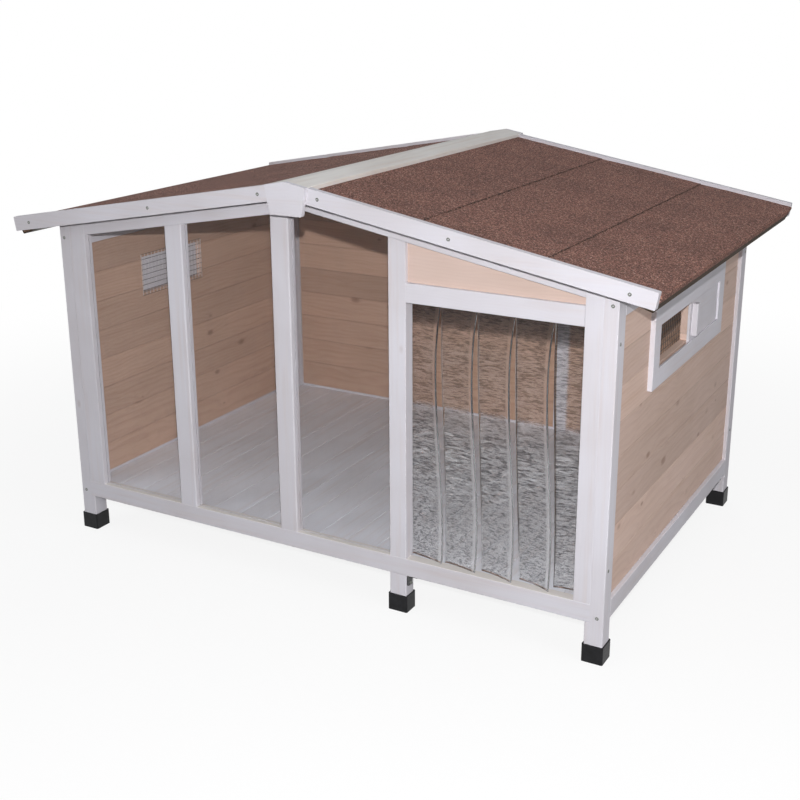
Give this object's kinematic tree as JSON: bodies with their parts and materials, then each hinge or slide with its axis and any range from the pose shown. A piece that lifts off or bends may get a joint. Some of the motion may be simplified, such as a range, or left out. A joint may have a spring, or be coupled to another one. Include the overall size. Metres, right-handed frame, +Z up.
{
  "type": "dog house",
  "caption": "Raised timber dog house with a felted saddle roof, clear front panes, a clear strip-curtain doorway and sliding side vents over wire mesh.",
  "frame": {"origin": "on the ground, below the middle of the roof as seen from above", "axes": "+X to the right along the front, -Y out of the front, +Z up"},
  "size_m": [1.49, 1.019, 0.8882],
  "materials": {
    "white_timber": "thin white wash over pine",
    "board_timber": "plain matched boards, matt",
    "gable_timber": "plain pine, lightly washed",
    "floor_timber": "grey washed boards, matt",
    "cap_timber": "planed pine, weathered",
    "roof_felt": "red-brown mineral granules on bitumen felt",
    "clear_pane": "clear flat sheet",
    "clear_pvc": "clear soft sheet with fine ripples",
    "foot_plastic": "moulded, satin black",
    "black_steel": "black paint",
    "galvanised_wire": "galvanised welded wire"
  },
  "bodies": {
    "house": {"corner_post_front_left": "white_timber", "corner_post_front_right": "white_timber", "corner_post_back_left": "white_timber", "corner_post_back_right": "white_timber", "mid_legs": "white_timber", "foot_caps": "foot_plastic", "bottom_rail_front": "white_timber", "bottom_rail_back": "white_timber", "bottom_rail_left": "white_timber", "bottom_rail_right": "white_timber", "window_stile_left": "white_timber", "window_mullion": "white_timber", "centre_post": "white_timber", "door_post": "white_timber", "door_stile_right": "white_timber", "door_header": "white_timber", "gable_panel": "gable_timber", "top_rail_front_left": "white_timber", "top_rail_front_right": "white_timber", "top_rails_back": "white_timber", "top_rail_left": "white_timber", "top_rail_right": "white_timber", "back_stile": "white_timber", "window_pane_left": "clear_pane", "window_pane_middle": "clear_pane", "window_pane_right": "clear_pane", "wall_boards_left": "board_timber", "wall_boards_right": "board_timber", "hatch_boards_left": "board_timber", "hatch_boards_right": "board_timber", "wall_boards_back": "board_timber", "floor_boards": "floor_timber", "floor_bearers": "floor_timber", "roof_deck_left": "board_timber", "roof_deck_right": "board_timber", "roof_felt_left": "roof_felt", "roof_felt_right": "roof_felt", "barge_board_front_left": "white_timber", "barge_board_front_right": "white_timber", "barge_boards_back": "white_timber", "ridge_cap_left": "cap_timber", "ridge_cap_right": "cap_timber", "keystones": "white_timber", "ridge_beam": "board_timber", "vent_frame_left": "white_timber", "vent_frame_right": "white_timber", "vent_mesh_left": "galvanised_wire", "vent_mesh_right": "galvanised_wire", "curtain_heading": "clear_pvc", "curtain_batten": "board_timber", "leg_brackets": "black_steel"},
    "shutter_right": {"vent_shutter_right": "white_timber", "shutter_handle_right": "white_timber"},
    "shutter_left": {"vent_shutter_left": "white_timber", "shutter_handle_left": "white_timber"},
    "strip_1": {"curtain_strip_1": "clear_pvc"},
    "strip_2": {"curtain_strip_2": "clear_pvc"},
    "strip_3": {"curtain_strip_3": "clear_pvc"},
    "strip_4": {"curtain_strip_4": "clear_pvc"},
    "strip_5": {"curtain_strip_5": "clear_pvc"}
  },
  "joints": [
    {"name": "shutter_right_slide", "type": "slide", "parent": "house", "child": "shutter_right", "axis": [0, 1, 0], "range_m": [-0.225, 0]},
    {"name": "shutter_left_slide", "type": "slide", "parent": "house", "child": "shutter_left", "axis": [0, 1, 0], "range_m": [0, 0.225]},
    {"name": "strip_1_swing", "type": "hinge", "parent": "house", "child": "strip_1", "pos_m": [0.4108, -0.4185, 0.6635], "axis": [1, 0, 0], "range_deg": [0, 75]},
    {"name": "strip_2_swing", "type": "hinge", "parent": "house", "child": "strip_2", "pos_m": [0.4108, -0.4185, 0.6635], "axis": [1, 0, 0], "range_deg": [-75, 75]},
    {"name": "strip_3_swing", "type": "hinge", "parent": "house", "child": "strip_3", "pos_m": [0.4108, -0.4185, 0.6635], "axis": [1, 0, 0], "range_deg": [-75, 75]},
    {"name": "strip_4_swing", "type": "hinge", "parent": "house", "child": "strip_4", "pos_m": [0.4108, -0.4185, 0.6635], "axis": [1, 0, 0], "range_deg": [-75, 75]},
    {"name": "strip_5_swing", "type": "hinge", "parent": "house", "child": "strip_5", "pos_m": [0.4108, -0.4185, 0.6635], "axis": [1, 0, 0], "range_deg": [0, 75]}
  ]
}
